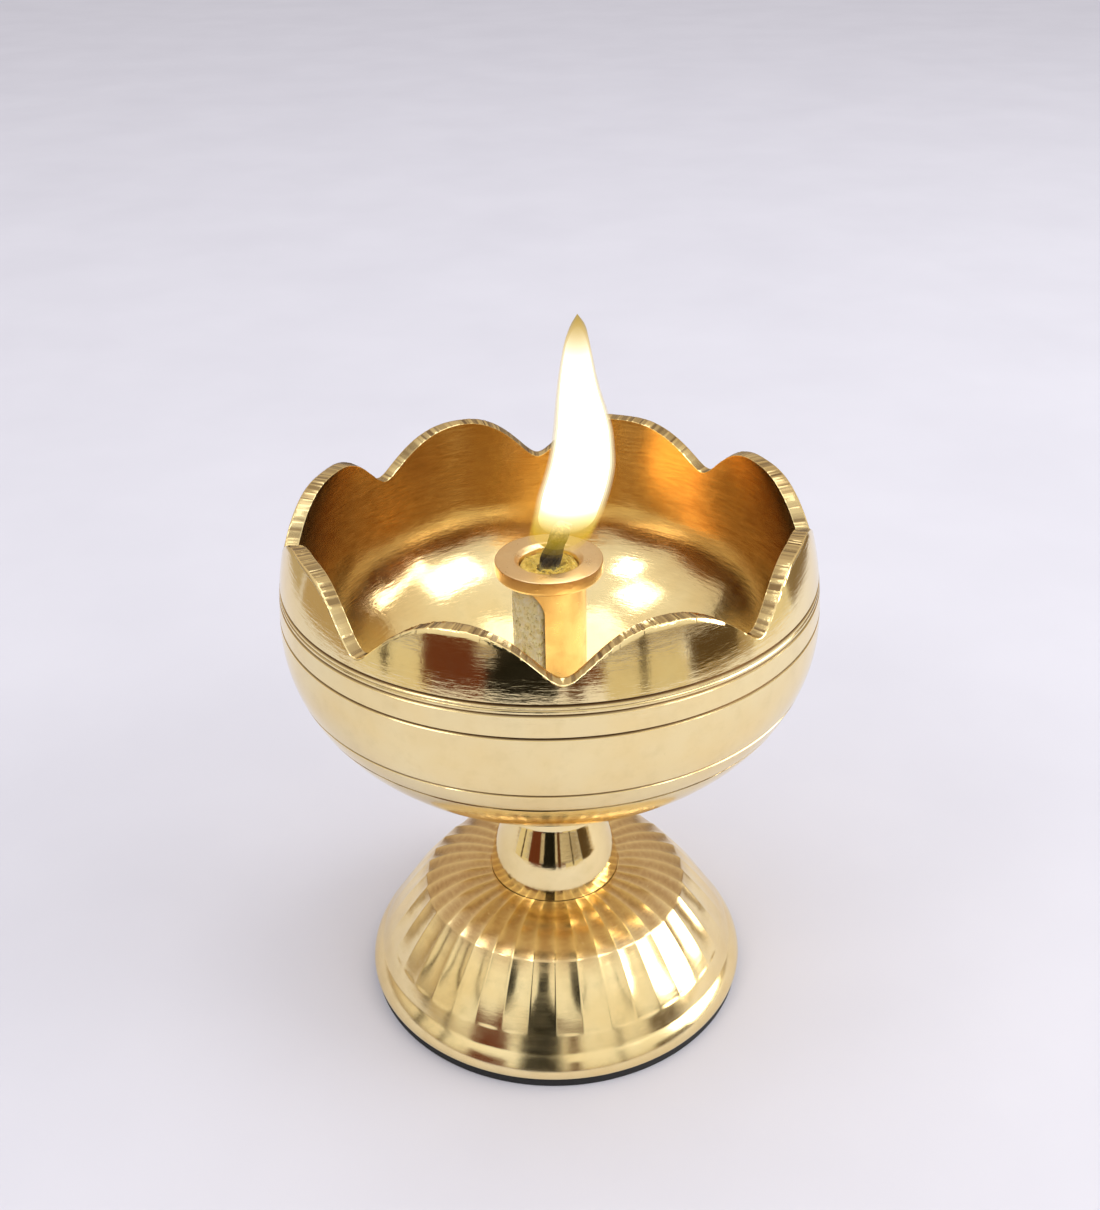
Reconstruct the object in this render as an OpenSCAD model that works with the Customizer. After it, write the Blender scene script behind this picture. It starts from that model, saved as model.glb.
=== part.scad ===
// Footed brass oil lamp (diya): an eight-petal bowl on a turned neck and a fluted
// hollow foot, with a lift-off wick holder in the middle of the bowl.
// Millimetres, +Z up, origin at the centre of the underside.

/* [Bowl] */
// Largest outside diameter of the bowl
bowl_d = 70; // [66:0.5:74]
// Wall thickness at the rim
bowl_wall = 1.8; // [1.4:0.1:2.4]
// Thickness of the floor above the neck seat
floor_t = 2.4; // [2:0.1:3]
// Half height of the lower part, from the widest point down
bowl_lower = 24.9; // [23:0.1:27]
// Half height of the ellipse that the upper wall follows
bowl_upper = 39.5; // [36:0.5:46]
// Height of the petal tips above the widest point
crest_h = 14.1; // [12:0.1:16]
// Number of petals round the rim
petals = 8; // [6:2:10]
// Depth of the shallowest notches between petals
notch_depth = 5.0; // [3:0.1:6]
// Turn of the petals about the axis, in degrees
petal_turn = 2; // [0:0.5:10]

/* [Wick holder] */
// Height of the holder
holder_h = 27.8; // [24:0.1:30]
// Outside diameter of the tube
tube_d = 9.7; // [9:0.1:11]
// Bore of the tube
tube_bore = 7.8; // [7:0.1:8]
// Diameter of the top flange
flange_d = 14.1; // [12:0.1:18]
// Thickness of the top flange
flange_t = 2.1; // [1.5:0.1:3]
// Width of the oil feed slot
slot_w = 7.7; // [6:0.1:7.7]
// Direction that the slot faces, in degrees from +X
slot_turn = 210; // [180:5:270]

/* [Wick and flame] */
// Diameter of the twisted wick
wick_d = 3.0; // [2:0.1:3.4]
// Sideways reach of the wick's tip
tip_reach = 2.1; // [0:0.1:4]
// Height of the wick's tip above the holder
tip_h = 4.8; // [2:0.1:6]
// Height of the flame above the holder
flame_h = 32.4; // [20:0.1:40]
// Widest diameter of the flame
flame_d = 9.4; // [7:0.1:11]

/* [Neck] */
// Length of the neck between the foot and the bowl
neck_h = 18.6; // [14:0.1:22]
// Diameter of the neck's waist
neck_waist_d = 12.3; // [12:0.1:13.4]
// Diameter of the neck where it meets the foot
neck_foot_d = 18.5; // [17:0.1:20]

/* [Foot] */
// Outside diameter of the foot
foot_d = 54.6; // [50:0.2:58]
// Height of the foot
foot_h = 16; // [14:0.1:18]
// Number of flutes round the foot
flutes = 40; // [32:2:48]
// Thickness of the black pad under the foot
pad_t = 1.4; // [1:0.1:2]

/* [Hidden] */
$fn = 96;
eps = 0.01;

brass = [0.86, 0.68, 0.36];
deep_brass = [0.80, 0.58, 0.28];
copper_tan = [0.78, 0.50, 0.28];
steel = [0.62, 0.63, 0.65];
cotton_cream = [0.90, 0.86, 0.66];
charred = [0.16, 0.12, 0.08];
flame_yellow = [1.0, 0.80, 0.25];
pad_black = [0.04, 0.04, 0.04];

// Heights, stacked from the ground up
foot_z = pad_t;
neck_z = foot_z + foot_h;
seat_z = neck_z + neck_h;

// Bowl: outer and inner walls are arcs of ellipses about one centre height
bowl_r = bowl_d / 2;
seat_flare = 2.75;
seat_r = neck_waist_d / 2 + seat_flare;
bowl_c = seat_z + bowl_lower * sqrt(1 - pow(seat_r / bowl_r, 2));
bowl_in_r = bowl_r - bowl_wall;
floor_z = seat_z + floor_t;
crest_z = bowl_c + crest_h;
inner_drop = 1.7;
inner_upper = bowl_upper - inner_drop;
rim_over = 1;
wall_join = 2;
groove_r = 0.3;
groove_out = 0.08;
grooves_z = [bowl_c + 6.3, bowl_c + 5.1, bowl_c + 2.2, bowl_c - 6.4, bowl_c - 9.5];
notch_round = 0.13;
lobe_power = 2.3;
notch_steps = 11;
notch_half_w = bowl_r * 0.837 * tan(180 / petals);
notch_flank = 1.4;
notch_air = 3;
// The notches are cut by hand: each one's extra turn in degrees and extra depth
hand_cut = [[0, 0.3], [0.4, 1.2], [0.7, 2], [-1.6, 1.4], [0, 0.4], [2.8, 1.2], [0.7, 0.5],
            [-1.7, 0.6]];

// Seat and spigot for the holder on the bowl's floor
seat_rise = 0.6;
holder_seat_z = floor_z + seat_rise;
holder_seat_r = 6.5;
peg_r = 3;
peg_h = 3;
peg_gap = 0.05;
peg_air = 0.2;

// Tapped boss under the bowl
boss_r = 4.6;
boss_h = 10;
tap_depth = 9;
boss_gap = 0.05;
boss_air = 0.2;

// Holder
tube_r = tube_d / 2;
bore_r = tube_bore / 2;
flange_r = flange_d / 2;
holder_top = holder_seat_z + holder_h;
socket_h = peg_h + peg_air;
web_t = 1.2;
bore_z = holder_seat_z + socket_h + web_t;
edge = 0.35;
mouth_edge = 0.7;
slot_r = slot_w / 2;
slot_arch_z = holder_top - flange_t - slot_r;

// Cotton and wick
cotton_gap = 0.1;
cotton_drop = 1;
cotton_top = holder_top - cotton_drop;
cotton_cup_r = 2.8;
cotton_cup_h = 1.5;
wick_r = wick_d / 2;
wick_gap = 0.15;
wick_foot = 0.2;
bend_drop = 1.3;
bend_z = holder_top - bend_drop;
tip_top_z = holder_top + tip_h;
tip_end_r = 1.1;
bend_swell = 0.06;
tip_swell = 0.04;
tip_lean = atan2(tip_reach, tip_top_z - bend_z);
tip_len = norm([tip_reach, tip_top_z - bend_z]) - tip_end_r;

// Flame: a teardrop of revolution, leaning a little to the right
flame_foot_x = 1.5;
flame_lean = 4.3;
flame_gap = 0.2;
flame_foot_z = holder_top + flame_gap;
flame_base = 0.35;
flame_swell = 0.42;
flame_clear = 0.1;
// The flame's outline, as shares of its radius and of its swell height or full height
flame_low = [[0.6, 0], [1.08, 0.4], [1, 1]];
flame_high = [[0.98, 0.462], [0.78, 0.8], [0, 1]];

// Neck: a swelling foot, a taper, a waist, and a flare up to the seat
neck_foot_r = neck_foot_d / 2;
waist_r = neck_waist_d / 2;
neck_swell = [[neck_foot_r, 0], [neck_foot_r - 0.25, 2.9], [neck_foot_r - 1.25, 5.7]];
neck_taper = [[waist_r + 1.11, 7.6], [waist_r + 0.35, 9.6]];
neck_turn = [[waist_r - 0.05, 10.7], [waist_r, 12.6]];
neck_flare = [waist_r + 0.1, 16.2];

// Foot: two curves, the side and the shoulder, and the hollow under them
foot_r = foot_d / 2;
foot_edge = 0.5;
lip_h = 2.4;
lip_r = foot_r - 1;
side_pull = [foot_r - 4.1, foot_h - 7.6];
side_end = [foot_r - 8.5, foot_h - 2.4];
shoulder_pull = [foot_r - 11.4, foot_h - 0.5];
top_start = [foot_r - 14.9, foot_h - 0.1];
recess_h = 0.5;
recess_gap = 0.1;
roof_t = 3.4;
hollow_low = [foot_r - 3.3, 0.6];
hollow_pull = [foot_r - 4.9, foot_h - 10.4];
hollow_high = [foot_r - 10.9, foot_h - roof_t];
flute_r = 9;
flute_depth = 0.2;
flute_low = [foot_r - 2.9, lip_h + 3.6];
flute_over = 1.4;
pad_inset = 0.3;
pad_w = 4.3;

// Fasteners, M5
shank_r = 2.45;
thread_r = 2.5;
clear_r = 2.75;
flat_t = 1.2;
flat_r = 7.5;
flat_hole_r = 2.65;
spring_t = 1.3;
spring_r = 4.4;
spring_hole_r = 2.6;
spring_gap = [0.7, 5, 4];
spring_gap_tilt = 30;
head_h = 3.5;
head_across_flats = 8;
bolt_len = 20;
roof_z = neck_z - roof_t;
flat_z = roof_z - flat_t;
spring_z = flat_z - spring_t;
head_z = spring_z - head_h;

// Points along an ellipse arc: centre height cz, half axes rx and rz, angles a0 to a1
function ellipse_arc(cz, rx, rz, a0, a1, n) =
    [for (i = [0:n]) let (a = a0 + (a1 - a0) * i / n) [rx * cos(a), cz + rz * sin(a)]];

// Points along a curve from p0 to p2, pulled towards p1
function curve(p0, p1, p2, n) =
    [for (i = [0:n]) let (t = i / n) (1-t)*(1-t) * p0 + 2*t*(1-t) * p1 + t*t * p2];

// Rise of the rim from a notch (0) to a petal tip (1); u is the fraction of the way
function soft(u) = sqrt(u*u + notch_round*notch_round) - notch_round;
function rise(u) = 1 - pow(1 - soft(u) / soft(1), lobe_power);

// Outer radius of the bowl at height z
function bowl_at(z) =
    let (half = z > bowl_c ? bowl_upper : bowl_lower)
    bowl_r * sqrt(1 - pow((z - bowl_c) / half, 2));

module ring_groove(z) {
    rotate_extrude()
        translate([bowl_at(z) + groove_out, z])
            circle(r = groove_r, $fn = 24);
}

// The air above the rim between two petal tips, for a notch of the given depth
module notch(depth) {
    top = crest_z + notch_air;
    flank = notch_half_w * notch_flank;
    edge_pts = [for (i = [-notch_steps:notch_steps])
        let (u = i / notch_steps) [notch_half_w * u, crest_z - depth * (1 - rise(abs(u)))]];
    rotate([90, 0, 90])
        linear_extrude(height = bowl_r + notch_air)
            polygon(concat([[-flank, crest_z]], edge_pts,
                           [[flank, crest_z], [flank, top], [-flank, top]]));
}

module bowl_wall_section() {
    seat_angle = -acos(seat_r / bowl_r);
    rim_z = crest_h + rim_over;
    outer = concat(
        ellipse_arc(bowl_c, bowl_r, bowl_lower, seat_angle, 0, 20),
        ellipse_arc(bowl_c, bowl_r, bowl_upper, wall_join, asin(rim_z / bowl_upper), 7));
    inner = concat(
        ellipse_arc(bowl_c, bowl_in_r, inner_upper, asin(rim_z / inner_upper), wall_join, 7),
        ellipse_arc(bowl_c, bowl_in_r, bowl_c - floor_z, 0, -90, 22));
    polygon(concat([[0, seat_z]], outer, inner));
}

module bowl() {
    color(brass) {
        difference() {
            rotate_extrude() bowl_wall_section();
            for (i = [0:petals - 1])
                let (own = hand_cut[i % len(hand_cut)])
                    rotate([0, 0, petal_turn + i * 360 / petals + own[0]])
                        notch(notch_depth + own[1]);
            for (z = grooves_z) ring_groove(z);
        }
        translate([0, 0, floor_z - floor_t / 2])
            cylinder(h = holder_seat_z - floor_z + floor_t / 2, r = holder_seat_r);
        translate([0, 0, holder_seat_z - eps])
            cylinder(h = peg_h + eps, r = peg_r);
        difference() {
            translate([0, 0, seat_z - boss_h])
                cylinder(h = boss_h + eps, r = boss_r);
            translate([0, 0, seat_z - boss_h - eps])
                cylinder(h = tap_depth + eps, r = thread_r);
        }
    }
}

module wick_holder_section() {
    polygon([
        [0, holder_seat_z], [tube_r, holder_seat_z],
        [tube_r, holder_top - flange_t], [flange_r - edge, holder_top - flange_t],
        [flange_r, holder_top - flange_t + edge], [flange_r, holder_top - edge / 2],
        [flange_r - edge / 2, holder_top], [0, holder_top]]);
}

module feed_slot(shrink, reach) {
    rotate([0, 0, slot_turn])
        rotate([90, 0, 90])
            linear_extrude(height = reach)
                union() {
                    translate([0, slot_arch_z]) circle(r = slot_r - shrink, $fn = 64);
                    translate([-slot_r + shrink, bore_z + shrink])
                        square([slot_w - 2 * shrink, slot_arch_z - bore_z - shrink]);
                }
}

module wick_holder() {
    color(copper_tan)
        difference() {
            rotate_extrude() wick_holder_section();
            translate([0, 0, bore_z])
                cylinder(h = holder_h, r = bore_r);
            translate([0, 0, holder_top - mouth_edge])
                cylinder(h = mouth_edge + eps, r1 = bore_r, r2 = bore_r + mouth_edge);
            translate([0, 0, holder_seat_z - eps])
                cylinder(h = socket_h + eps, r = peg_r + peg_gap);
            feed_slot(0, tube_r + 1);
        }
}

module cotton_packing() {
    color(cotton_cream)
        difference() {
            union() {
                translate([0, 0, bore_z])
                    cylinder(h = cotton_top - bore_z, r = bore_r - cotton_gap);
                intersection() {
                    translate([0, 0, bore_z])
                        cylinder(h = cotton_top - bore_z, r = tube_r - cotton_gap);
                    feed_slot(cotton_gap, tube_r);
                }
            }
            translate([0, 0, bore_z - eps])
                cylinder(h = cotton_top, r = wick_r + wick_gap);
            translate([0, 0, cotton_top - cotton_cup_h])
                cylinder(h = cotton_cup_h + eps, r1 = wick_r + wick_gap, r2 = cotton_cup_r);
        }
}

// Twisted wick: upright in the holder, then leaning to its burnt tip
module wick_shape(grow) {
    translate([0, 0, bore_z + wick_foot])
        cylinder(h = bend_z - bore_z - wick_foot, r = wick_r + grow);
    translate([0, 0, bend_z])
        sphere(r = wick_r + bend_swell + grow);
    translate([0, 0, bend_z])
        rotate([0, tip_lean, 0]) {
            cylinder(h = tip_len, r1 = wick_r + grow, r2 = tip_end_r + grow);
            translate([0, 0, tip_len]) sphere(r = tip_end_r + tip_swell + grow);
        }
}

module wick() {
    color(charred) wick_shape(0);
}

module flame() {
    body = flame_d / 2;
    swell_h = flame_h * flame_swell;
    low = [for (p = flame_low) [body * p[0], max(flame_base, swell_h * p[1])]];
    high = [for (p = flame_high) [body * p[0], flame_h * p[1]]];
    color(flame_yellow)
        difference() {
            translate([flame_foot_x, 0, flame_foot_z])
                rotate([0, flame_lean, 0])
                    rotate_extrude()
                        polygon(concat([[0, flame_base]],
                                       curve(low[0], low[1], low[2], 6),
                                       curve(high[0], high[1], high[2], 9)));
            wick_shape(flame_clear);
        }
}

module neck() {
    low = -recess_h;
    color(brass)
        difference() {
            translate([0, 0, neck_z])
                rotate_extrude()
                    polygon(concat(
                        [[0, low], [neck_foot_r, low]],
                        curve(neck_swell[0], neck_swell[1], neck_swell[2], 8),
                        curve(neck_swell[2], neck_taper[0], neck_taper[1], 6),
                        curve(neck_taper[1], neck_turn[0], neck_turn[1], 6),
                        curve(neck_turn[1], neck_flare, [seat_r, neck_h], 8),
                        [[0, neck_h]]));
            translate([0, 0, neck_z + low - eps])
                cylinder(h = neck_h + 1, r = clear_r);
            translate([0, 0, seat_z - boss_h - boss_air])
                cylinder(h = boss_h + 1, r = boss_r + boss_gap);
        }
}

module foot_outer_section() {
    polygon(concat(
        [[0, 0], [foot_r - foot_edge, 0]],
        curve([foot_r - foot_edge, 0], [foot_r, 0], [foot_r, foot_edge], 4),
        curve([lip_r, lip_h], side_pull, side_end, 10),
        curve(side_end, shoulder_pull, top_start, 8),
        [[0, foot_h]]));
}

module foot_hollow_section() {
    polygon(concat(
        [[0, -1], [hollow_low[0], -1]],
        curve(hollow_low, hollow_pull, hollow_high, 8),
        [[0, hollow_high[1]]]));
}

// One flute: a shallow gouge up the side of the foot
module flute() {
    rise_angle = atan2(side_end[1] - flute_low[1], flute_low[0] - side_end[0]);
    start = flute_low + [sin(rise_angle), cos(rise_angle)] * (flute_r - flute_depth);
    translate([start[0], 0, start[1]])
        rotate([0, rise_angle - 90, 0])
            cylinder(h = norm(side_end - flute_low) + flute_over, r = flute_r, $fn = 48);
}

module foot() {
    color(deep_brass)
        translate([0, 0, foot_z])
            difference() {
                rotate_extrude() foot_outer_section();
                rotate_extrude() foot_hollow_section();
                for (i = [0:flutes - 1])
                    rotate([0, 0, i * 360 / flutes]) flute();
                translate([0, 0, foot_h - recess_h])
                    cylinder(h = 1, r = neck_foot_r + recess_gap);
                cylinder(h = foot_h + 1, r = clear_r);
            }
}

module foot_pad() {
    color(pad_black)
        difference() {
            cylinder(h = pad_t, r = foot_r - pad_inset);
            translate([0, 0, -eps])
                cylinder(h = pad_t + 2 * eps, r = foot_r - pad_inset - pad_w);
        }
}

module tie_bolt() {
    color(steel) {
        translate([0, 0, head_z])
            cylinder(h = head_h, r = head_across_flats / 2 / cos(30), $fn = 6);
        translate([0, 0, spring_z - eps])
            cylinder(h = bolt_len + eps, r = shank_r);
    }
}

module spring_washer() {
    color(steel)
        difference() {
            translate([0, 0, spring_z]) cylinder(h = spring_t, r = spring_r);
            translate([0, 0, spring_z - eps])
                cylinder(h = spring_t + 2 * eps, r = spring_hole_r);
            translate([0, spring_gap[1] / 2, spring_z + spring_t / 2])
                rotate([0, spring_gap_tilt, 0]) cube(spring_gap, center = true);
        }
}

module flat_washer() {
    color(steel)
        difference() {
            translate([0, 0, flat_z]) cylinder(h = flat_t, r = flat_r);
            translate([0, 0, flat_z - eps]) cylinder(h = flat_t + 2 * eps, r = flat_hole_r);
        }
}

bowl();
wick_holder();
cotton_packing();
wick();
flame();
neck();
foot();
foot_pad();
tie_bolt();
spring_washer();
flat_washer();
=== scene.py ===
# Footed brass oil lamp with a petal rim: the detailed pieces, materials, studio and camera.
import math

import bmesh
import bpy
import numpy as np
from mathutils import Matrix, Vector, noise


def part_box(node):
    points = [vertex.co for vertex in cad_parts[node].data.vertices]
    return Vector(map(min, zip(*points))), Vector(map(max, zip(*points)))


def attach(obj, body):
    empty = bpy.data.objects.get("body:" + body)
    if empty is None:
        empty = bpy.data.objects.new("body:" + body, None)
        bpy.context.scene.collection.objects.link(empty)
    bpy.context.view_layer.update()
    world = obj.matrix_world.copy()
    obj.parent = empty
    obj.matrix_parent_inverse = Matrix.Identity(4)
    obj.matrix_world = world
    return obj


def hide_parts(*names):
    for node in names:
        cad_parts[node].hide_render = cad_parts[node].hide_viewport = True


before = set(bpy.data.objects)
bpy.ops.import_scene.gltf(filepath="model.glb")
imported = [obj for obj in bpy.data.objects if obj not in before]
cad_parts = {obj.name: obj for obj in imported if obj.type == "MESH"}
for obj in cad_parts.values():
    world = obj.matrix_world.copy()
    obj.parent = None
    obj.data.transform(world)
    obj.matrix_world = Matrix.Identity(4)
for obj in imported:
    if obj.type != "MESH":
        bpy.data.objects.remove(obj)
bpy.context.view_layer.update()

MM = 0.001  # metres in a millimetre


# ---------------------------------------------------------------- sizes, in millimetres

def span(node, axis):
    """Lowest and highest coordinate of a CAD node along an axis, in millimetres."""
    low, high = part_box(node)
    return low[axis] / MM, high[axis] / MM


BOWL_R = span("bowl", 0)[1]
CREST_Z = span("bowl", 2)[1]
BOSS_Z = span("bowl", 2)[0]
SEAT_Z = span("neck", 2)[1]
NECK_LOW = span("neck", 2)[0]
NECK_R = span("neck", 0)[1]
FOOT_R = span("foot", 0)[1]
FOOT_Z, FOOT_TOP = span("foot", 2)
PAD_R = span("foot_pad", 0)[1]
HOLDER_LOW, HOLDER_TOP = span("wick_holder", 2)
FLANGE_R = span("wick_holder", 0)[1]
COTTON_LOW, COTTON_TOP = span("cotton_packing", 2)
WICK_LOW, WICK_TOP = span("wick", 2)
FLAME_LOW, FLAME_TOP = span("flame", 2)

# Bowl: inside and outside are arcs of ellipses about the height where it is widest
BOWL_C = CREST_Z - 14.1
BOWL_LOWER, BOWL_UPPER = 24.9, 39.5
FLOOR_Z = SEAT_Z + 2.4
INNER_R = BOWL_R - 1.8
INNER_LOWER, INNER_UPPER = BOWL_C - FLOOR_Z, BOWL_UPPER - 1.7
BELT_Z = BOWL_C + 6.7
SEAT_R = 8.9
WAIST_R = 6.15
BOSS_R = 4.6
BOLT_HOLE_R = 2.75
PEG_R, PEG_H = 3.0, 3.0

# Petals. The notches are cut by hand: each one's extra turn in degrees and extra depth.
PETALS = 8
PETAL_TURN = 2
NOTCH = 5.0
NOTCH_HALF_W = BOWL_R * 0.93 * math.tan(math.pi / PETALS) * 0.9
NOTCH_ROUND = 0.13
LOBE_POWER = 2.3
HAND_CUT = ((0, 0.3), (0.4, 1.2), (0.7, 2), (-1.6, 1.4), (0, 0.4), (2.8, 1.2), (0.7, 0.5),
            (-1.7, 0.6))

# Foot: its flutes, and their depth at shares of their length, from the lip up to the neck
FLUTES = 40
FLUTE_COLUMNS = 26
FLUTE_DEPTHS = ((0, 0), (0.015, 0.05), (0.15, 0.13), (0.3, 0.21), (0.46, 0.20), (0.56, 0.13),
                (0.66, 0.09), (0.97, 0.055), (1, 0.02))

# Wick holder, with the oil feed slot in its side
TUBE_R = 4.85
BORE_R = 3.9
FLANGE_T = 2.1
SOCKET_R, SOCKET_H = 3.05, 3.2
SLOT_R = 3.85
SLOT_TURN = 210
SLOT_ARCH_Z = HOLDER_TOP - FLANGE_T - SLOT_R

# Cotton and wick
COTTON_CUP_R = 1.62
SLOT_FIBRES, TOP_FIBRES = 230, 120
WICK_BEND = HOLDER_TOP - 1.3
WICK_REACH = 2.1
WICK_TWIST = 0.4675


# ---------------------------------------------------------------- mesh helpers

def curve_points(p0, p1, p2, steps):
    """Points along a curve from p0 to p2, pulled towards p1."""
    t = np.linspace(0, 1, steps + 1)[:, None]
    p0, p1, p2 = (np.array(p, float) for p in (p0, p1, p2))
    return (1 - t) ** 2 * p0 + 2 * t * (1 - t) * p1 + t ** 2 * p2


def rounded(points, radius, steps=4):
    """The same outline with each inner corner rounded."""
    points = [np.array(p, float) for p in points]
    out = [points[0]]
    for before, corner, after in zip(points, points[1:], points[2:]):
        a, b = before - corner, after - corner
        reach = min(radius, np.linalg.norm(a) * 0.45, np.linalg.norm(b) * 0.45)
        a, b = a / np.linalg.norm(a) * reach, b / np.linalg.norm(b) * reach
        out.extend(curve_points(corner + a, corner, corner + b, steps))
    out.append(points[-1])
    return np.array(out)


def revolve(name, radius, height, closed=False, **masks):
    """A closed surface of revolution from radius[angle, point] and height[angle, point] in mm.
    The outline runs from the axis to the axis, or is a loop if closed. Each mask is a value
    for every point, which the materials read by name."""
    turns, count = radius.shape
    angle = np.linspace(0, 2 * math.pi, turns, endpoint=False)[:, None]
    verts = np.stack([radius * np.cos(angle), radius * np.sin(angle), height], 2).reshape(-1, 3)
    i = np.arange(turns)[:, None]
    j = np.arange(count if closed else count - 1)[None, :]
    ni, nj = (i + 1) % turns, (j + 1) % count
    quads = np.stack([i * count + j, ni * count + j, ni * count + nj, i * count + nj], 2)
    faces = quads.reshape(-1, 4).tolist()
    if not closed:
        for k, flip in ((0, False), (count - 1, True)):
            ring = (np.arange(turns) * count + k).tolist()
            hub = len(verts)
            verts = np.vstack([verts, [0, 0, height[:, k].mean()]])
            for a, b in zip(ring, ring[1:] + ring[:1]):
                faces.append([hub, a, b] if flip else [hub, b, a])
    piece = make_mesh(name, verts, faces)
    # the hubs come last and carry 0
    for mask, values in masks.items():
        values = np.resize(np.append(values.reshape(-1), [0, 0]), len(piece.data.vertices))
        piece.data.attributes.new(mask, "FLOAT", "POINT").data.foreach_set("value", values)
    return piece


def make_mesh(name, verts_mm, faces, sharp=38):
    """A smooth-shaded object whose edges sharper than an angle in degrees stay sharp."""
    mesh = bpy.data.meshes.new(name)
    mesh.from_pydata((np.asarray(verts_mm) * MM).tolist(), [], faces)
    mesh.validate()
    mesh.update()
    mesh.polygons.foreach_set("use_smooth", [True] * len(mesh.polygons))
    mesh.set_sharp_from_angle(angle=math.radians(sharp))
    piece = bpy.data.objects.new(name, mesh)
    bpy.context.collection.objects.link(piece)
    return piece


def lathe(name, outline, turns=256, closed=False):
    """A solid turned from one outline of (radius, height)."""
    outline = np.array(outline, float)
    outline[:, 0] = np.maximum(outline[:, 0], 0.02)
    radius = np.repeat(outline[None, :, 0], turns, 0)
    height = np.repeat(outline[None, :, 1], turns, 0)
    return revolve(name, radius, height, closed)


def angle_from(middle, angle):
    """An angle measured from another, between -pi and pi."""
    return (angle - middle + math.pi) % (2 * math.pi) - math.pi


def outward(piece):
    """Turns the faces so that they point out of the solid."""
    bm = bmesh.new()
    bm.from_mesh(piece.data)
    bmesh.ops.recalc_face_normals(bm, faces=bm.faces)
    bm.to_mesh(piece.data)
    bm.free()
    return piece


def finish_piece(piece, body, slot, material, *nodes):
    """Gives a piece its material and its body, and the CAD nodes that it stands for; the slot is
    not used.
    """
    piece.data.materials.clear()
    piece.data.materials.append(material)
    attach(piece, body)
    if nodes:
        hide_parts(*nodes)


# ---------------------------------------------------------------- material helpers

class Nodes:
    """A small wrapper round a node tree."""

    def __init__(self, owner):
        owner.use_nodes = True
        self.tree = owner.node_tree

    def node(self, kind, **settings):
        made = self.tree.nodes.new(kind)
        for key, value in settings.items():
            setattr(made, key, value)
        return made

    def link(self, start, end):
        self.tree.links.new(start, end)

    def feed(self, socket, value):
        """Gives a socket a number, a colour or another node's output."""
        if isinstance(value, (int, float)):
            socket.default_value = value
        elif isinstance(value, tuple):
            socket.default_value = (*value, 1)
        else:
            self.link(value, socket)

    def math(self, operation, a, b=None, clamp=False):
        made = self.node("ShaderNodeMath", operation=operation, use_clamp=clamp)
        for socket, value in zip(made.inputs, (a, b)):
            if value is not None:
                self.feed(socket, value)
        return made.outputs[0]

    def split(self, vector):
        made = self.node("ShaderNodeSeparateXYZ")
        self.link(vector, made.inputs[0])
        return made.outputs

    def join(self, x, y, z):
        made = self.node("ShaderNodeCombineXYZ")
        for socket, value in zip(made.inputs, (x, y, z)):
            self.feed(socket, value)
        return made.outputs[0]

    def noise(self, vector, scale, detail=4.0, roughness=0.55):
        made = self.node("ShaderNodeTexNoise")
        made.inputs["Scale"].default_value = scale
        made.inputs["Detail"].default_value = detail
        made.inputs["Roughness"].default_value = roughness
        self.link(vector, made.inputs["Vector"])
        return made.outputs["Fac"]

    def ramp(self, value, *stops):
        """stops are (position, colour or grey)."""
        made = self.node("ShaderNodeValToRGB")
        ramp = made.color_ramp
        while len(ramp.elements) < len(stops):
            ramp.elements.new(0.5)
        for element, (position, colour) in zip(ramp.elements, stops):
            element.position = position
            grey = isinstance(colour, (int, float))
            element.color = (colour, colour, colour, 1) if grey else (*colour, 1)
        self.link(value, made.inputs[0])
        return made.outputs[0]

    def mix(self, factor, a, b, blend="MIX"):
        made = self.node("ShaderNodeMix", data_type="RGBA", blend_type=blend)
        for index, value in ((0, factor), (6, a), (7, b)):
            self.feed(made.inputs[index], value)
        return made.outputs[2]

    def bump(self, height, strength, distance, after=None):
        made = self.node("ShaderNodeBump")
        made.inputs["Strength"].default_value = strength
        made.inputs["Distance"].default_value = distance * MM
        self.link(height, made.inputs["Height"])
        if after is not None:
            self.link(after, made.inputs["Normal"])
        return made.outputs[0]


class Shader(Nodes):
    """A new material, with its surface's sockets set by name."""

    def __init__(self, name):
        self.material = bpy.data.materials.new(name)
        super().__init__(self.material)
        self.surface = self.tree.nodes["Principled BSDF"]

    def set(self, **values):
        for key, value in values.items():
            self.feed(self.surface.inputs[key.replace("_", " ")], value)

    def place(self):
        """Object coordinates, in millimetres."""
        coords = self.node("ShaderNodeTexCoord")
        scale = self.node("ShaderNodeVectorMath", operation="SCALE")
        scale.inputs["Scale"].default_value = 1 / MM
        self.link(coords.outputs["Object"], scale.inputs[0])
        return scale.outputs[0]

    def turned_place(self, around, rest):
        """Coordinates that follow the turning, so that noise makes lathe marks: radians round
        the axis, distance from it and height, each stretched."""
        x, y, z = self.split(self.place())
        out = self.math("SQRT", self.math("ADD", self.math("MULTIPLY", x, x),
                                          self.math("MULTIPLY", y, y)))
        return self.join(self.math("MULTIPLY", self.math("ARCTAN2", y, x), around),
                         self.math("MULTIPLY", out, rest), self.math("MULTIPLY", z, rest))

    def painted(self, mask):
        """A mask that the mesh carries; 0 on a mesh without it."""
        return self.node("ShaderNodeAttribute", attribute_name=mask).outputs["Fac"]


# ---------------------------------------------------------------- brass

# the colour of the painted shade on brass
SHADED_BRASS = (0.40, 0.21, 0.085)


def darker(colour, share):
    return tuple(share * c for c in colour)


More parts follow.
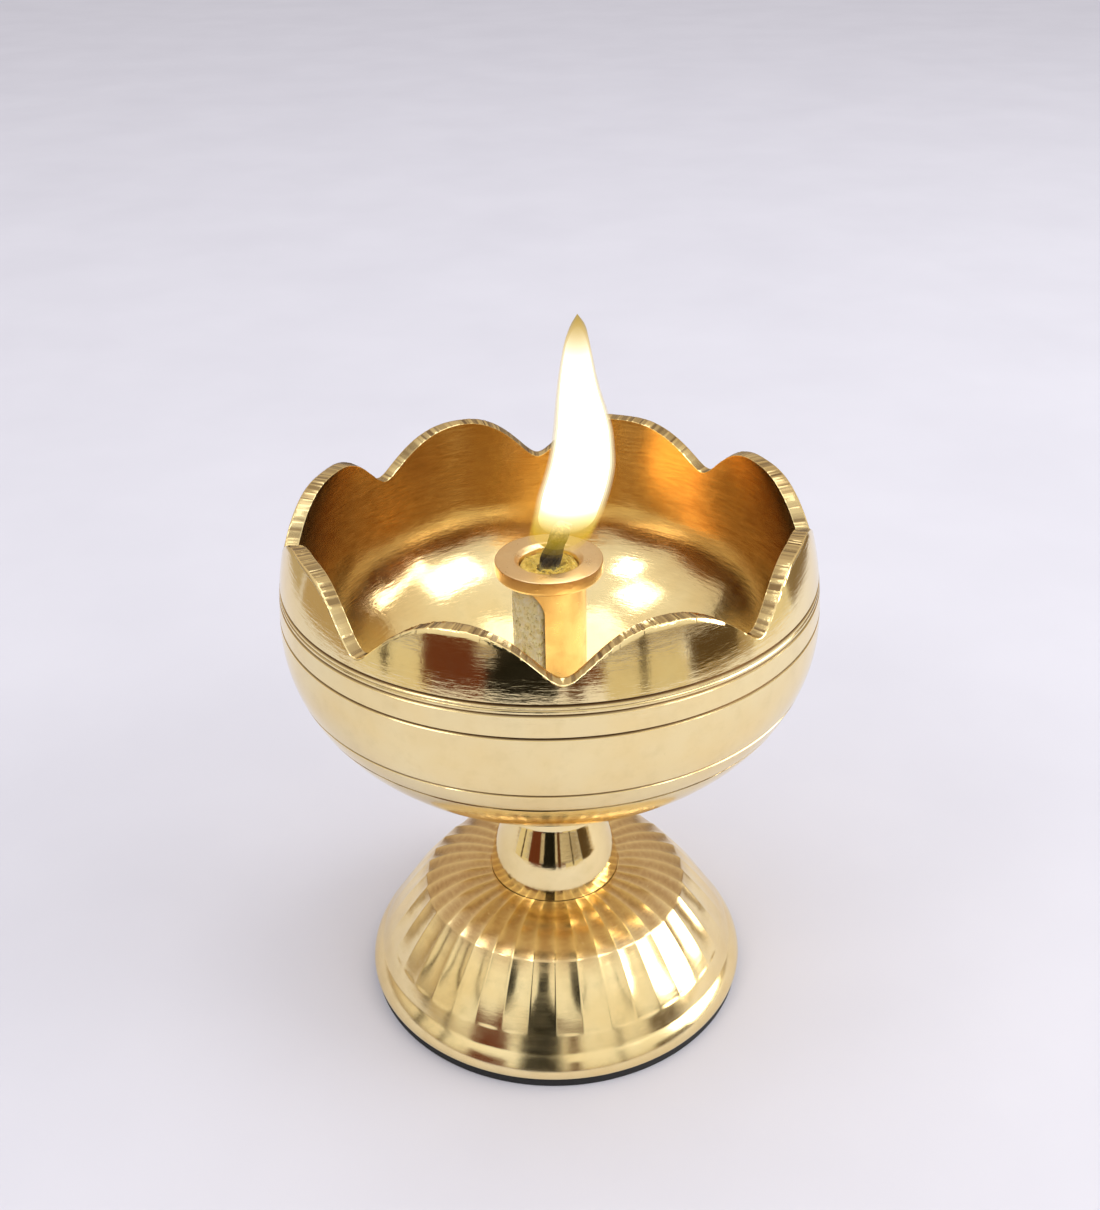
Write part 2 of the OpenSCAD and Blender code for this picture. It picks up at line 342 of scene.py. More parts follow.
def brass(name, bright, warm, polish=0.07, marks=0.02):
    """Turned and polished brass: lathe marks, buffing streaks, haze, faint tarnish, painted shade
    in a deeper colour where the inside mask is set, and painted shade in the cut lines and file
    marks."""
    shader = Shader(name)
    place = shader.place()
    inside, grime = shader.painted("inside"), shader.painted("grime")
    lines = shader.noise(shader.turned_place(2.0, 6.0), 1.0, 5.0, 0.6)
    streaks = shader.noise(shader.turned_place(12.0, 2.0), 1.0, 3.0, 0.6)
    broad = shader.noise(place, 0.09, 3.0)
    haze = shader.noise(place, 0.45, 5.0, 0.6)
    specks = shader.noise(place, 3.5, 2.0, 0.5)
    tint = shader.mix(shader.ramp(broad, (0.35, 0.0), (0.7, 1.0)), bright, warm)
    streaked_shade = shader.ramp(streaks, (0.30, 0.72), (0.65, 1.0))
    # painted shade: the deeper colour where the inside mask is set, broken up by the buffing
    # streaks
    tint = shader.mix(shader.math("MULTIPLY", inside, streaked_shade), tint, SHADED_BRASS)
    tint = shader.mix(shader.ramp(haze, (0.50, 0.0), (0.78, 0.25)), tint, darker(warm, 0.72))
    tint = shader.mix(shader.ramp(specks, (0.70, 0.0), (0.80, 0.25)), tint, darker(warm, 0.5))
    # painted shade in the cut lines and file marks
    tint = shader.mix(grime, tint, darker(SHADED_BRASS, 0.35))
    rough = shader.math("ADD", shader.math("MULTIPLY", haze, 0.6),
                        shader.math("MULTIPLY", lines, 0.4))
    rough = shader.ramp(rough, (0.3, polish), (0.75, polish * 2.2))
    dull = shader.math("ADD", shader.math("MULTIPLY", grime, 0.25),
                       shader.math("MULTIPLY", inside, 0.09))
    shader.set(Base_Color=tint, Metallic=1.0, Roughness=shader.math("ADD", rough, dull))
    normal = shader.bump(streaks, 1.0, marks)
    normal = shader.bump(lines, 1.0, marks * 0.25, normal)
    shader.set(Normal=shader.bump(haze, 0.5, marks * 1.5, normal))
    return shader.material


# ---------------------------------------------------------------- bowl

def bowl_outer(z):
    half = np.where(z > BOWL_C, BOWL_UPPER, BOWL_LOWER)
    return BOWL_R * np.sqrt(1 - ((z - BOWL_C) / half) ** 2)


def bowl_inner(z):
    half = np.where(z > BOWL_C, INNER_UPPER, INNER_LOWER)
    return INNER_R * np.sqrt(np.maximum(0, 1 - ((z - BOWL_C) / half) ** 2))


# Height above the widest point, depth and half width of each turned line
BOWL_LINES = ((6.3, 0.30, 0.26), (5.75, 0.10, 0.16), (5.1, 0.24, 0.24), (2.2, 0.28, 0.24),
              (-6.4, 0.28, 0.24), (-9.5, 0.20, 0.20))


def bowl_lines(z):
    """How deep the turned lines are at a height."""
    cut = np.zeros_like(z)
    for above, depth, half in BOWL_LINES:
        cut += depth * np.maximum(0, 1 - np.abs(z - BOWL_C - above) / half)
    return cut


def rim_height(angle, radius, jitter):
    """Height of the rim at an angle (radians) for a point at that radius."""
    soft = NOTCH_ROUND
    height = np.full_like(angle, CREST_Z)
    for index, (turn, extra) in enumerate(HAND_CUT):
        middle = math.radians(PETAL_TURN + 360 / PETALS * index + turn)
        gap = angle_from(middle, angle)
        reach = np.where(np.abs(gap) < math.pi / 2, np.abs(radius * np.sin(gap)), BOWL_R)
        u = np.clip(reach / NOTCH_HALF_W, 0, 1)
        eased = (np.sqrt(u * u + soft * soft) - soft) / (math.sqrt(1 + soft * soft) - soft)
        depth = NOTCH + extra + jitter[index]
        height = np.minimum(height, CREST_Z - depth * (1 - eased) ** LOBE_POWER)
    return height


def make_bowl():
    """The bowl's outline from the boss underneath, over the rim, to the peg on its floor."""
    turns = 1440
    file_depth = 0.11
    edge = 0.16
    rng = np.random.default_rng(7)
    angle = np.linspace(0, 2 * math.pi, turns, endpoint=False)
    jitter = rng.uniform(-0.15, 0.05, PETALS)

    # file marks across the rim: short runs of columns, each a little higher or lower
    marks = np.zeros(turns)
    column = 0
    while column < turns:
        run = int(rng.integers(1, 4))
        marks[column:column + run] = -rng.uniform(0.0, file_depth)
        column += run

    # painted shade on the inner wall: darkest at the sides, lightest at the front and back
    painted_shade = 0.40 + 0.60 * np.abs(np.cos(angle)) ** 1.2
    outer_rim = rim_height(angle, BOWL_R - 1.0, jitter)
    inner_rim = rim_height(angle, BOWL_R - 2.8, jitter)

    fixed = set(np.round(np.linspace(SEAT_Z + 0.05, BELT_Z, 46), 3))
    for above, _, half in BOWL_LINES:
        fixed |= {round(BOWL_C + above + half * k, 3) for k in (-1.3, -1, -0.5, 0, 0.5, 1, 1.3)}
    fixed = np.array(sorted(z for z in fixed if SEAT_Z < z <= BELT_Z))

    columns_r, columns_z, grimes, insides = [], [], [], []

    def add(radius, height, grime=0.0, inside=0.0):
        for column, values in ((columns_r, radius), (columns_z, height), (grimes, grime),
                               (insides, inside)):
            column.append(np.broadcast_to(values, (turns,)).astype(float))

    # tapped boss and flat seat underneath
    for r, z in ((0.02, SEAT_Z - 1), (2.5, SEAT_Z - 1), (2.5, BOSS_Z + 0.4), (2.9, BOSS_Z),
                 (BOSS_R - 0.3, BOSS_Z), (BOSS_R, BOSS_Z + 0.3), (BOSS_R, SEAT_Z),
                 (SEAT_R, SEAT_Z)):
        add(r, z)
    for z in fixed:
        cut_in = bowl_lines(z)
        # painted shade in the turned cut lines, darker the deeper the cut
        add(bowl_outer(z) - cut_in, z, grime=min(1.0, cut_in / 0.16))
    for share in np.linspace(0.12, 1, 12):
        z = BELT_Z + (outer_rim - edge - BELT_Z) * share
        add(bowl_outer(z), z)
    # painted shade over the rim's filed strip, darkest in the deepest file marks
    file_mark_shade = 0.15 + np.clip(-marks / file_depth, 0, 1) ** 1.5 * 0.75
    add(bowl_outer(outer_rim) - 0.05, outer_rim - 0.06 + marks * 0.3)
    add(bowl_outer(outer_rim) - 0.20, outer_rim + marks, grime=file_mark_shade)
    add((bowl_outer(outer_rim) + bowl_inner(inner_rim)) / 2, (outer_rim + inner_rim) / 2 + marks,
        grime=file_mark_shade)
    add(bowl_inner(inner_rim) + edge, inner_rim + marks, grime=file_mark_shade)
    add(bowl_inner(inner_rim) + 0.03, inner_rim - 0.10 + marks * 0.3)
    for share in np.linspace(0, 1, 13)[:-1]:
        z = inner_rim - 0.3 + (BELT_Z - inner_rim + 0.3) * share
        add(bowl_inner(z), z, inside=painted_shade)
    for a in np.linspace(math.asin((BELT_Z - BOWL_C) / INNER_UPPER), 0, 6)[:-1]:
        z = BOWL_C + INNER_UPPER * math.sin(a)
        add(bowl_inner(z), z, inside=painted_shade)
    for a in np.linspace(0, math.acos(7.0 / INNER_R), 34):
        add(INNER_R * math.cos(a), BOWL_C - INNER_LOWER * math.sin(a),
            inside=painted_shade * max(0.0, 1 - 1.5 * math.sin(a)))
    # raised seat and peg for the wick holder
    floor_edge = columns_z[-1][0]
    peg_top = HOLDER_LOW + PEG_H
    for r, z in ((6.7, floor_edge), (6.5, floor_edge + 0.08), (6.45, HOLDER_LOW - 0.1),
                 (6.35, HOLDER_LOW), (PEG_R + 0.2, HOLDER_LOW), (PEG_R, HOLDER_LOW + 0.15),
                 (PEG_R, peg_top - 0.3), (PEG_R - 0.3, peg_top), (0.02, peg_top)):
        add(r, z)
    bowl = revolve("bowl_turned", np.stack(columns_r, 1), np.stack(columns_z, 1),
                   grime=np.stack(grimes, 1), inside=np.stack(insides, 1))
    return outward(bowl)


# ---------------------------------------------------------------- neck, foot and pad

def make_neck():
    """Up the side in one smooth curve, down the hole for the boss and then for the bolt."""
    top = FOOT_TOP
    bends = ((NECK_R, 0), (NECK_R - 0.25, 2.9), (NECK_R - 1.25, 5.7), (WAIST_R + 1.11, 7.6),
             (WAIST_R + 0.35, 9.6), (WAIST_R - 0.05, 10.7), (WAIST_R, 12.6),
             (WAIST_R + 0.1, 16.2), (SEAT_R, SEAT_Z - top - 0.02))
    bends = [(r, top + z) for r, z in bends]
    side = np.vstack([curve_points(*bends[k:k + 3], 20)[:-1] for k in (0, 2, 4, 6)])
    hole = BOSS_R + 0.05
    outline = np.vstack([
        [[NECK_R - 0.2, NECK_LOW], [NECK_R - 0.03, NECK_LOW + 0.1], [NECK_R, NECK_LOW + 0.3]],
        side, [bends[-1]], [[hole, SEAT_Z - 0.02], [hole, BOSS_Z - 0.2],
                            [BOLT_HOLE_R, BOSS_Z - 0.2], [BOLT_HOLE_R, NECK_LOW + 0.02]]])
    return outward(lathe("neck_turned", outline, 320, closed=True))


def foot_outline():
    """Outer outline from the lip up to the neck, in mm above the ground."""
    r, top = FOOT_R, FOOT_TOP
    lip = np.vstack([
        [(r - 3.3, FOOT_Z), (r - 0.9, FOOT_Z)],
        curve_points((r - 0.35, FOOT_Z), (r, FOOT_Z), (r, FOOT_Z + 0.55), 5),
        curve_points((r, FOOT_Z + 0.6), (r - 0.1, FOOT_Z + 1.7), (r - 1.5, FOOT_Z + 3.3), 20)])
    height = top - FOOT_Z
    side_end = (r - 8.5, FOOT_Z + height - 2.4)
    side = curve_points((r - 1.62, FOOT_Z + 3.5), (r - 4.25, FOOT_Z + height - 7.5), side_end, 60)
    shoulder = curve_points(side_end, (r - 11.4, top - 0.5), (r - 14.9, top - 0.1), 30)[1:]
    flat = np.array([(out, top - 0.04) for out in (11.6, 10.8, 10.2, 9.8, 9.5, 9.36)])
    return lip, np.vstack([side, shoulder, flat])


def make_foot():
    """The bell with its flutes pressed in, and its plain hollow inside."""
    turns = FLUTES * FLUTE_COLUMNS
    lip, top = foot_outline()
    outline = np.vstack([lip, top])
    step = np.gradient(outline, axis=0)
    step /= np.linalg.norm(step, axis=1)[:, None]
    inward = np.stack([-step[:, 1], step[:, 0]], 1)
    along = np.r_[0, np.cumsum(np.linalg.norm(np.diff(outline, axis=0), axis=1))]
    start = along[len(lip)] + 2.2
    end = along[-1] - 0.1
    phase = (np.arange(turns) % FLUTE_COLUMNS + 0.5) / FLUTE_COLUMNS * 2 - 1
    wobble = np.random.default_rng(3).uniform(0.85, 1.1, FLUTES)
    hollow = np.repeat(wobble, FLUTE_COLUMNS)[:, None] * (1 - np.abs(phase) ** 2.0)[:, None]
    share = np.clip((along - start) / (end - start), 0, 1)
    depth = np.interp(share, *zip(*FLUTE_DEPTHS))
    moved = outline[None] + inward[None] * (hollow * depth[None])[:, :, None]
    roof_z = FOOT_TOP - 3.4
    roof_edge = (FOOT_R - 10.9, roof_z)
    inside = np.vstack([
        [(9.35, FOOT_TOP - 0.1), (9.3, NECK_LOW + 0.02), (2.8, NECK_LOW + 0.02),
         (BOLT_HOLE_R, roof_z), roof_edge],
        curve_points(roof_edge, (FOOT_R - 4.9, FOOT_TOP - 10.4),
                     (FOOT_R - 3.35, FOOT_Z + 0.6), 20)[1:]])
    radius = np.hstack([moved[:, :, 0], np.repeat(inside[None, :, 0], turns, 0)])
    height = np.hstack([moved[:, :, 1], np.repeat(inside[None, :, 1], turns, 0)])
    # painted shade on the shoulder under the bowl, deepest in its flutes
    painted_shade = np.zeros_like(radius)
    painted_shade[:, :len(along)] = (np.interp(along, (along[-1] - 12.5, along[-1] - 9), (0, 0.75))[None]
                              * (0.35 + 0.65 * hollow))
    return outward(revolve("foot_fluted", radius, height, closed=True, inside=painted_shade))


def make_pad():
    inner = FOOT_R - 4.6
    outline = rounded([(inner + 1, 0), (PAD_R, 0), (PAD_R, FOOT_Z - 0.01), (inner, FOOT_Z - 0.01),
                       (inner, 0), (inner + 1, 0)], 0.3, 4)[:-1]
    return outward(lathe("foot_pad_ring", outline, 240, closed=True))


# ---------------------------------------------------------------- wick holder

def slot_cutter():
    """An arch-topped block that reaches out from the tube's axis."""
    ring = [(-SLOT_R, COTTON_LOW), (SLOT_R, COTTON_LOW)]
    ring += [(SLOT_R * math.cos(a), SLOT_ARCH_Z + SLOT_R * math.sin(a))
             for a in np.linspace(0, math.pi, 41)]
    turn = Matrix.Rotation(math.radians(SLOT_TURN), 4, "Z")
    verts = [turn @ Vector((d, t, z)) for d in (0.0, TUBE_R + 2) for t, z in ring]
    n = len(ring)
    faces = [list(range(n))[::-1], list(range(n, 2 * n))]
    faces += [[i, (i + 1) % n, (i + 1) % n + n, i + n] for i in range(n)]
    return outward(make_mesh("slot_cutter", verts, faces))


def cut(piece, cutter):
    """Takes the cutter out of the piece for good."""
    boolean = piece.modifiers.new("cut", "BOOLEAN")
    boolean.object = cutter
    boolean.operation = "DIFFERENCE"
    boolean.solver = "EXACT"
    graph = bpy.context.evaluated_depsgraph_get()
    mesh = bpy.data.meshes.new_from_object(piece.evaluated_get(graph))
    piece.modifiers.clear()
    piece.data = mesh
    bpy.data.objects.remove(cutter)
    mesh.set_sharp_from_angle(angle=math.radians(35))


def make_holder():
    """The flanged tube, bored from the top, with a socket below and the slot cut in its side."""
    top, low = HOLDER_TOP, HOLDER_LOW
    socket_top = low + SOCKET_H
    outer = rounded([(SOCKET_R, low), (TUBE_R, low), (TUBE_R, top - FLANGE_T),
                     (FLANGE_R - 0.35, top - FLANGE_T), (FLANGE_R, top - FLANGE_T + 0.4),
                     (FLANGE_R, top), (BORE_R + 0.6, top), (BORE_R, top - 0.6),
                     (BORE_R, COTTON_LOW), (0.02, COTTON_LOW)], 0.16, 4)
    socket = [[0.02, socket_top], [3.0, socket_top], [SOCKET_R, socket_top - 0.05]]
    outline = np.vstack([socket, outer])
    holder = outward(lathe("wick_holder_turned", outline, 256))
    cut(holder, slot_cutter())
    return holder


# ---------------------------------------------------------------- cotton and wick

def in_slot(angle, z):
    """How far a place on the tube's wall is inside the feed slot: 1 well inside, 0 outside."""
    gap = angle_from(math.radians(SLOT_TURN), angle)
    across = TUBE_R * math.sin(gap) if abs(gap) < math.pi / 2 else math.inf
    if z > SLOT_ARCH_Z:
        inside = SLOT_R - math.hypot(across, z - SLOT_ARCH_Z)
    else:
        inside = min(SLOT_R - abs(across), z - COTTON_LOW)
    return max(0.0, min(1.0, inside / 0.55))


def fluff(x, y, z, size, seed=0.0):
    """Lumpy noise, finer as size grows."""
    return noise.fractal(Vector((x * size + seed, y * size, z * size)), 0.9, 2.1, 5)


def make_cotton():
    """Cotton wool in the tube, bulging into the slot and up round the wick."""
    turns, rows, top_rows = 200, 150, 26
    radius = np.zeros((turns, rows + top_rows))
    height = np.zeros_like(radius)
    for i in range(turns):
        a = 2 * math.pi * i / turns
        for j in range(rows):
            z = COTTON_LOW + 0.15 + (COTTON_TOP - COTTON_LOW - 0.3) * j / (rows - 1)
            inside = in_slot(a, z)
            bulge = 1.05 * inside ** 0.5
            lumps = fluff(TUBE_R * math.cos(a), TUBE_R * math.sin(a), z, 0.75)
            fine = fluff(TUBE_R * math.cos(a), TUBE_R * math.sin(a), z, 2.6, 9.0)
            radius[i, j] = BORE_R - 0.16 + bulge + inside * (0.22 * lumps + 0.10 * fine - 0.12)
            height[i, j] = z
        for j in range(top_rows):
            share = (j + 1) / top_rows
            r = (BORE_R - 0.2) * (1 - share) + COTTON_CUP_R * share
            lumps = fluff(r * math.cos(a), r * math.sin(a), 0, 0.9, 4.0)
            fine = fluff(r * math.cos(a), r * math.sin(a), 0, 3.0, 14.0)
            radius[i, rows + j] = r
            height[i, rows + j] = COTTON_TOP - 0.1 + math.sin(math.pi * share) * (
                0.25 + 0.32 * lumps + 0.12 * fine) - 0.25 * share
    inner = np.array([[COTTON_CUP_R, COTTON_TOP - 1.2], [COTTON_CUP_R, COTTON_LOW + 0.15]])
    radius = np.hstack([radius, np.repeat(inner[None, :, 0], turns, 0)])
    height = np.hstack([height, np.repeat(inner[None, :, 1], turns, 0)])
    return outward(revolve("cotton_wool", radius, height, closed=True))


def tube_mesh(name, paths, widths, sides=6):
    """Round strands along paths; widths are radii along each path."""
    verts, faces = [], []
    for path, width in zip(paths, widths):
        path = [Vector(p) for p in path]
        base = len(verts)
        up = Vector((0.3, 0.2, 0.93)).normalized()
        for k, p in enumerate(path):
            ahead = (path[min(k + 1, len(path) - 1)] - path[max(k - 1, 0)]).normalized()
            side = ahead.cross(up)
            side = side.normalized() if side.length > 1e-4 else ahead.orthogonal().normalized()
            up = side.cross(ahead).normalized()
            for s in range(sides):
                a = 2 * math.pi * s / sides
                verts.append(p + (side * math.cos(a) + up * math.sin(a)) * width[k])
        for k in range(len(path) - 1):
            for s in range(sides):
                n = (s + 1) % sides
                row = base + k * sides
                faces.append([row + s, row + n, row + sides + n, row + sides + s])
        faces.append([base + s for s in range(sides)][::-1])
        last = base + (len(path) - 1) * sides
        faces.append([last + s for s in range(sides)])
    return make_mesh(name, verts, faces, 60)


def make_fibres():
    """Loose cotton fibres on the packing: curls in the slot and round the top."""
    rng = np.random.default_rng(21)
    paths, widths = [], []
    while len(paths) < SLOT_FIBRES:
        a = math.radians(SLOT_TURN) + rng.uniform(-0.85, 0.85)
        z = rng.uniform(COTTON_LOW + 1, HOLDER_TOP - FLANGE_T - 0.4)
        heading, curl = rng.uniform(0, 2 * math.pi), rng.uniform(-2.2, 2.2)
        length = rng.uniform(0.8, 2.2)
        path = []
        for k in range(9):
            share = k / 8
            h = heading + curl * share
            a_k = a + math.cos(h) * length * share / TUBE_R
            z_k = z + math.sin(h) * length * share
            if in_slot(a_k, z_k) < 0.75:
                break
            r = TUBE_R - 0.10 + 0.12 * math.sin(math.pi * share) + 0.05 * rng.uniform()
            path.append((r * math.cos(a_k), r * math.sin(a_k), z_k))
        if len(path) >= 5:
            paths.append(path)
            widths.append([0.055 * (1 - 0.5 * abs(2 * k / (len(path) - 1) - 1))
                           for k in range(len(path))])
    for _ in range(TOP_FIBRES):
        a, heading = rng.uniform(0, 2 * math.pi), rng.uniform(0, 2 * math.pi)
        r = rng.uniform(2.0, 3.4)
        length = rng.uniform(0.5, 1.3)
        path = []
        for k in range(7):
            share = k / 6
            x = r * math.cos(a) + math.cos(heading + share) * length * (share - 0.5)
            y = r * math.sin(a) + math.sin(heading + share) * length * (share - 0.5)
            if 1.7 < math.hypot(x, y) < 3.65:
                path.append((x, y, COTTON_TOP + 0.12 + 0.3 * math.sin(math.pi * share)))
        if len(path) >= 4:
            paths.append(path)
            widths.append([0.045] * len(path))
    return outward(tube_mesh("cotton_fibres", paths, widths, 5))


def lean_share(z):
    """How far along the leaning end of the wick a height is."""
    return max(0.0, (z - WICK_BEND) / (WICK_TOP - WICK_BEND))


def wick_centre(z):
    """Where the wick's middle is at height z: upright, then leaning to the right."""
    share = lean_share(z)
    return Vector((WICK_REACH * share ** 1.25, 0.25 * math.sin(2.5 * share) * share, z))


def make_wick():
    """Four twisted plies, swelling at the burnt tip."""
    rng = np.random.default_rng(5)
    paths, widths = [], []
    steps = 150
    for ply in range(4):
        path, width = [], []
        for k in range(steps):
            z = WICK_LOW + 0.3 + (WICK_TOP - 0.5 - WICK_LOW) * k / (steps - 1)
            share = lean_share(z)
            spin = ply * math.pi / 2 + WICK_TWIST * (z - WICK_LOW)
            spread = 0.74 * (1 - 0.25 * share)
            rough = 0.10 * share * noise.noise(Vector((ply * 5.1, z * 1.9, 3.0)))
            middle = wick_centre(z)
            path.append(middle + Vector((math.cos(spin) * (spread + rough),
                                         math.sin(spin) * (spread + rough), 0)))
            width.append((0.72 - 0.12 * share) * (1 + 0.10 * noise.noise(
                Vector((ply * 3.3, z * 3.1, 8.0))) * (0.3 + share)))
        paths.append(path)
        widths.append(width)
    # frayed, charred ends
    for _ in range(16):
        a = rng.uniform(0, 2 * math.pi)
        start = wick_centre(WICK_TOP - rng.uniform(0.4, 2.2))
        start = start + Vector((math.cos(a), math.sin(a), 0)) * rng.uniform(0.4, 1.0)
        heading = Vector((math.cos(a) * 0.8 + 0.7, math.sin(a) * 0.8, rng.uniform(0.3, 1.0)))
        length = rng.uniform(0.3, 0.8)
        paths.append([start + heading * (length * k / 4) + Vector((0, 0, 0.05 * math.sin(k)))
                      for k in range(5)])
        widths.append([0.09, 0.085, 0.07, 0.055, 0.03])
    return outward(tube_mesh("wick_twisted", paths, widths, 12))


# ---------------------------------------------------------------- flame

# Share of the flame's height, how far right its middle is, and its half width
FLAME_SHAPE = ((0.0, 0.3, 3.2), (0.05, 1.0, 3.87), (0.12, 1.78, 4.2), (0.19, 2.5, 4.43),
               (0.26, 3.1, 4.52), (0.33, 3.74, 4.43), (0.40, 4.24, 4.26), (0.475, 4.48, 3.96),
               (0.55, 4.55, 3.66), (0.62, 4.36, 3.24), (0.69, 4.1, 2.76), (0.76, 3.94, 2.32),
               (0.83, 3.88, 1.9), (0.90, 3.88, 1.42), (0.957, 3.98, 0.85), (1.0, 3.93, 0.0))


def smooth_between(share, table):
    """Values from a table at any share, along a smooth curve through its rows."""
    table = np.array(table)
    k = int(np.clip(np.searchsorted(table[:, 0], share) - 1, 0, len(table) - 2))
    p1, p2 = table[k], table[k + 1]
    p0, p3 = table[max(k - 1, 0)], table[min(k + 2, len(table) - 1)]
    step = p2[0] - p1[0]
    t = (share - p1[0]) / step
    m1 = (p2 - p0) / max(p2[0] - p0[0], 1e-6) * step
    m2 = (p3 - p1) / max(p3[0] - p1[0], 1e-6) * step
    return ((2 * t ** 3 - 3 * t ** 2 + 1) * p1 + (t ** 3 - 2 * t ** 2 + t) * m1
            + (3 * t ** 2 - 2 * t ** 3) * p2 + (t ** 3 - t ** 2) * m2)[1:]


def flame_shell(name, grow, low, high):
    """A closed flame-shaped shell; low and high are shares of the flame's height."""
    turns, rows = 72, 110
    verts, faces = [], []
    total = FLAME_TOP - FLAME_LOW
    for j in range(rows):
        local = j / (rows - 1)
        share = low + (high - low) * local
        middle, half = smooth_between(share, FLAME_SHAPE)
        foot_round = math.sqrt(max(0.0, 1 - (1 - min(1, local / 0.09)) ** 2))
        tip_round = 1
        if high < 1:
            tip_round = math.sqrt(max(0.0, 1 - (1 - min(1, (1 - local) / 0.10)) ** 2))
        half = half * grow * foot_round * tip_round + 0.01
        for i in range(turns):
            a = 2 * math.pi * i / turns
            flutter = 1 + 0.02 * math.sin(3 * a + 7 * share)
            verts.append((middle + half * flutter * math.cos(a),
                          0.9 * half * flutter * math.sin(a), FLAME_LOW + total * share))
    for j in range(rows - 1):
        for i in range(turns):
            n = (i + 1) % turns
            faces.append([j * turns + i, j * turns + n, (j + 1) * turns + n, (j + 1) * turns + i])
    faces.append(list(range(turns))[::-1])
    faces.append([(rows - 1) * turns + i for i in range(turns)])
    return outward(make_mesh(name, verts, faces, 80))


# ---------------------------------------------------------------- materials of the soft parts

def cotton_material():
    """Pale oily cotton wool with dark flecks, scorched towards the top."""
    shader = Shader("oiled_cotton")
    place = shader.place()
    mottle = shader.noise(place, 1.5, 6.0, 0.65)
    fine = shader.noise(place, 6.0, 4.0, 0.6)
    colour = shader.ramp(mottle, (0.28, (0.10, 0.09, 0.03)), (0.37, (0.58, 0.52, 0.20)),
                         (0.44, (0.97, 0.92, 0.56)), (0.58, (1.0, 0.98, 0.76)))
    z = shader.split(place)["Z"]
    scorch = shader.math("DIVIDE", shader.math("SUBTRACT", z, HOLDER_TOP - 3.5), 2.2, clamp=True)
    colour = shader.mix(scorch, colour, (0.66, 0.48, 0.09), "MULTIPLY")
    shader.set(Base_Color=colour, Roughness=shader.ramp(mottle, (0.3, 0.25), (0.7, 0.65)),
               Subsurface_Weight=0.25, Subsurface_Scale=0.0006, Sheen_Weight=0.25)
    shader.surface.inputs["Subsurface Radius"].default_value = (1.0, 0.85, 0.5)
    shader.set(Normal=shader.bump(fine, 0.6, 0.12))
    return shader.material


def wick_material():
    """Twisted cotton, charred above the holder, with brown patches at its tip."""
    shader = Shader("burnt_wick")
    place = shader.place()
    z = shader.split(place)["Z"]
    grain = shader.noise(place, 3.2, 6.0, 0.65)
    burn = shader.math("ADD", shader.math("DIVIDE", shader.math("SUBTRACT", z, HOLDER_TOP - 1.6),
                                          2.2), shader.math("SUBTRACT", grain, 0.5))
    char = shader.ramp(grain, (0.35, (0.012, 0.009, 0.006)), (0.7, (0.075, 0.055, 0.030)))
    colour = shader.mix(shader.ramp(burn, (0.0, 0.0), (0.5, 1.0)), (0.62, 0.52, 0.20), char)
    tip = shader.math("DIVIDE", shader.math("SUBTRACT", z, WICK_TOP - 2.6), 2.0, clamp=True)
    colour = shader.mix(shader.math("MULTIPLY", tip, shader.ramp(grain, (0.40, 0.2), (0.62, 1.0))),
                        colour, (0.50, 0.34, 0.08))
    shader.set(Base_Color=colour, Roughness=0.9, Normal=shader.bump(grain, 0.8, 0.2))
    return shader.material


def flame_material(name, low_colour, mid_colour, top_colour, strength, cover):
    """Glowing gas: colour and cover change with height only."""
    shader = Shader(name)
    z = shader.split(shader.place())["Z"]
    share = shader.math("DIVIDE", shader.math("SUBTRACT", z, FLAME_LOW), FLAME_TOP - FLAME_LOW)
    colour = shader.ramp(share, (0.12, low_colour), (0.28, mid_colour), (0.84, mid_colour),
                         (0.98, top_colour))
    alpha = shader.ramp(share, *cover)
    shader.set(Base_Color=(0.0, 0.0, 0.0), Roughness=1.0, Specular_IOR_Level=0.0,
               Emission_Color=colour, Emission_Strength=strength, Alpha=alpha)
    return shader.material


def rubber_material():
    shader = Shader("pad_rubber")
    grain = shader.noise(shader.place(), 4.0, 4.0)
    shader.set(Base_Color=shader.ramp(grain, (0.3, 0.006), (0.7, 0.016)), Roughness=0.75,
               Normal=shader.bump(grain, 0.4, 0.05))
    return shader.material


def steel_material():
    shader = Shader("zinc_steel")
    place = shader.place()
    grain = shader.noise(place, 2.0, 5.0)
    shader.set(Base_Color=shader.ramp(grain, (0.3, (0.50, 0.51, 0.53)), (0.7, (0.68, 0.69, 0.70))),
               Metallic=1.0, Roughness=shader.ramp(grain, (0.3, 0.24), (0.7, 0.42)),
               Normal=shader.bump(grain, 0.2, 0.03))
    return shader.material


# ---------------------------------------------------------------- the lamp

polished = brass("polished_brass", (0.95, 0.79, 0.43), (0.93, 0.72, 0.34))
neck_brass = brass("neck_brass", (0.95, 0.78, 0.42), (0.92, 0.71, 0.33), polish=0.05, marks=0.006)
foot_brass = brass("foot_brass", (0.97, 0.80, 0.44), (0.94, 0.72, 0.34), polish=0.11, marks=0.006)
holder_brass = brass("holder_brass", (0.88, 0.67, 0.39), (0.78, 0.54, 0.27), polish=0.22,
                     marks=0.03)
cotton = cotton_material()
steel = steel_material()

finish_piece(make_bowl(), "lamp", "polished_brass", polished, "bowl")
finish_piece(make_neck(), "lamp", "neck_brass", neck_brass, "neck")
finish_piece(make_foot(), "lamp", "foot_brass", foot_brass, "foot")
finish_piece(make_pad(), "lamp", "pad_rubber", rubber_material(), "foot_pad")
finish_piece(make_holder(), "holder", "holder_brass", holder_brass, "wick_holder")
finish_piece(make_cotton(), "holder", "oiled_cotton", cotton, "cotton_packing")
finish_piece(make_fibres(), "holder", "oiled_cotton", cotton)
finish_piece(make_wick(), "wick", "burnt_wick", wick_material(), "wick")

